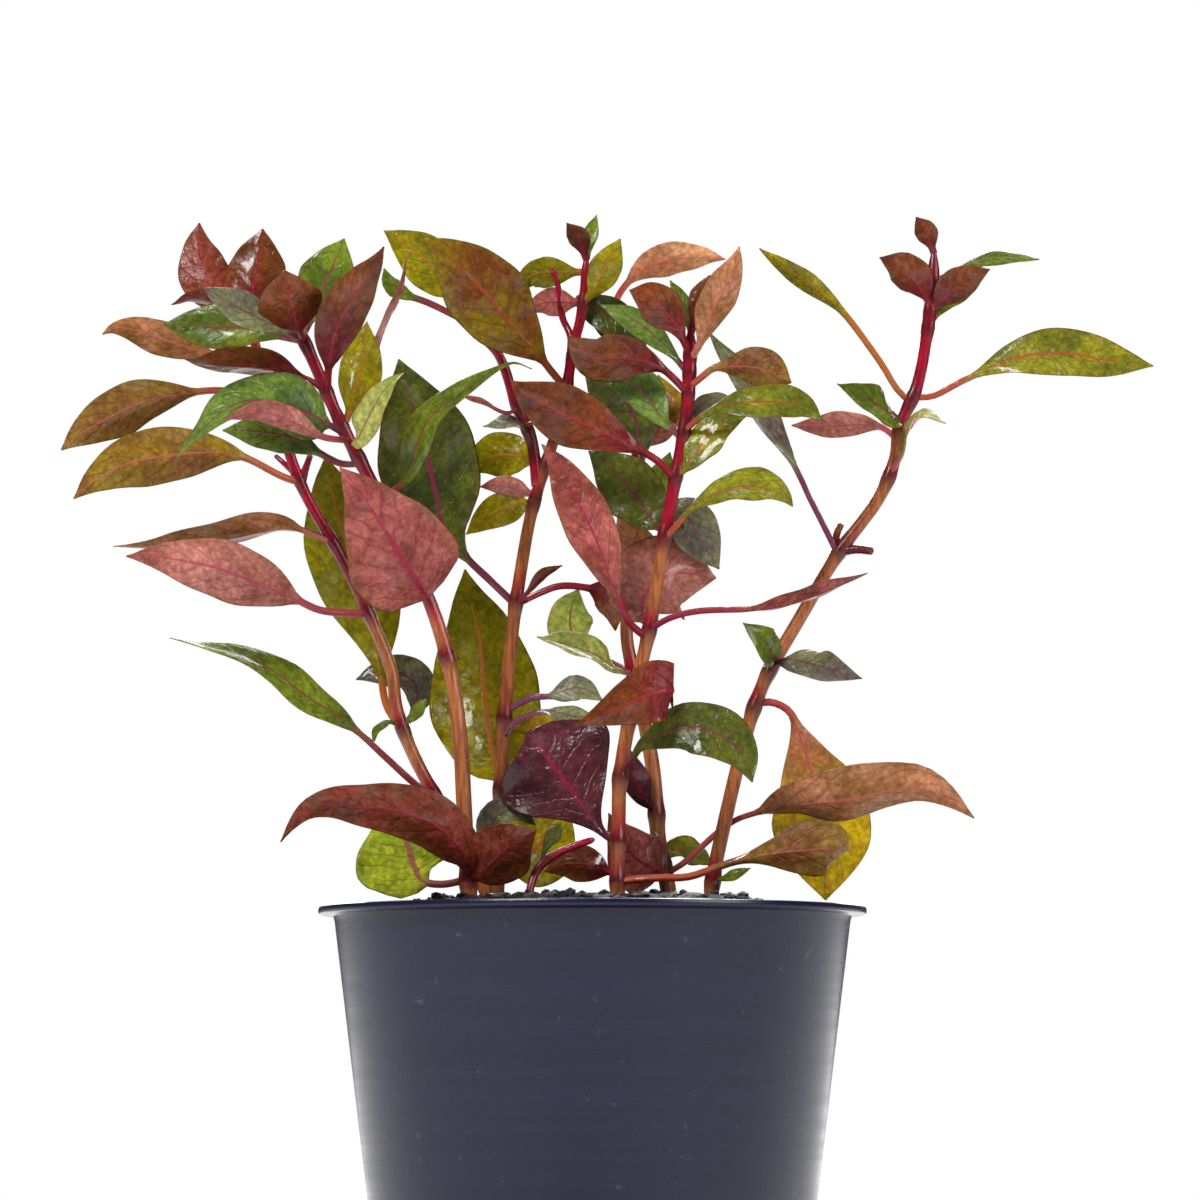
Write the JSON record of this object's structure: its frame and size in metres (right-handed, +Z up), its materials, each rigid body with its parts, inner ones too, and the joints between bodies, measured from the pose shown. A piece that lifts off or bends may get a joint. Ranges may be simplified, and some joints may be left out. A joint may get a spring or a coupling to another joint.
{
  "type": "potted aquarium plant",
  "caption": "Bushy aquarium plant with thin reddish stems and small oval leaves, green above and mauve beneath, rising from a small round tapered nursery pot filled with a growing medium.",
  "frame": {"origin": "centre of the pot's flat underside", "axes": "+Z up, -Y towards the side seen in front, +X to that viewer's right"},
  "size_m": [0.1095, 0.0548, 0.12],
  "materials": {
    "pot_plastic": "satin blue-black moulded plastic",
    "growing_medium": "damp dark fibrous plug",
    "stem_red": "wet smooth stem, pale orange low down and magenta above; stands in for plant tissue",
    "leaf_green": "wet leaf, upper side green; stands in for plant tissue",
    "leaf_mauve": "wet leaf, underside mauve; stands in for plant tissue",
    "leaf_gold": "wet leaf, olive gold with light through it; stands in for plant tissue"
  },
  "bodies": {
    "root": {"pot": "pot_plastic", "growing_medium": "growing_medium", "stem_a": "stem_red", "stem_b": "stem_red", "stem_c": "stem_red", "stem_e": "stem_red", "stem_f": "stem_red", "stem_g": "stem_red", "stem_h": "stem_red", "stalk_j": "stem_red", "leaf_a1": "leaf_green", "leaf_a2": "leaf_green", "leaf_a3": "leaf_mauve", "leaf_a4": "leaf_mauve", "leaf_a5": "leaf_gold", "leaf_a6": "leaf_mauve", "leaf_a7": "leaf_mauve", "leaf_b1": "leaf_mauve", "leaf_b2": "leaf_mauve", "leaf_b3": "leaf_gold", "leaf_b4": "leaf_mauve", "leaf_b5": "leaf_green", "leaf_b6": "leaf_mauve", "leaf_b7": "leaf_green", "leaf_b8": "leaf_gold", "leaf_b9": "leaf_mauve", "leaf_b10": "leaf_green", "leaf_b11": "leaf_green", "leaf_c1": "leaf_gold", "leaf_c2": "leaf_gold", "leaf_c3": "leaf_green", "leaf_c4": "leaf_mauve", "leaf_c5": "leaf_green", "leaf_e1": "leaf_gold", "leaf_f1": "leaf_mauve", "leaf_f2": "leaf_green", "leaf_f3": "leaf_mauve", "leaf_f4": "leaf_mauve", "leaf_f5": "leaf_mauve", "leaf_f6": "leaf_mauve", "leaf_f7": "leaf_green", "leaf_f8": "leaf_green", "leaf_f9": "leaf_mauve", "leaf_f10": "leaf_green", "leaf_f11": "leaf_green", "leaf_f12": "leaf_mauve", "leaf_f13": "leaf_gold", "leaf_f14": "leaf_gold", "leaf_f15": "leaf_mauve", "leaf_f16": "leaf_gold", "leaf_g1": "leaf_mauve", "leaf_g2": "leaf_mauve", "leaf_g3": "leaf_green", "leaf_g4": "leaf_green", "leaf_h1": "leaf_gold", "leaf_h2": "leaf_green", "leaf_h3": "leaf_green", "leaf_h4": "leaf_gold", "leaf_h5": "leaf_green", "leaf_h6": "leaf_mauve"}
  },
  "joints": []
}
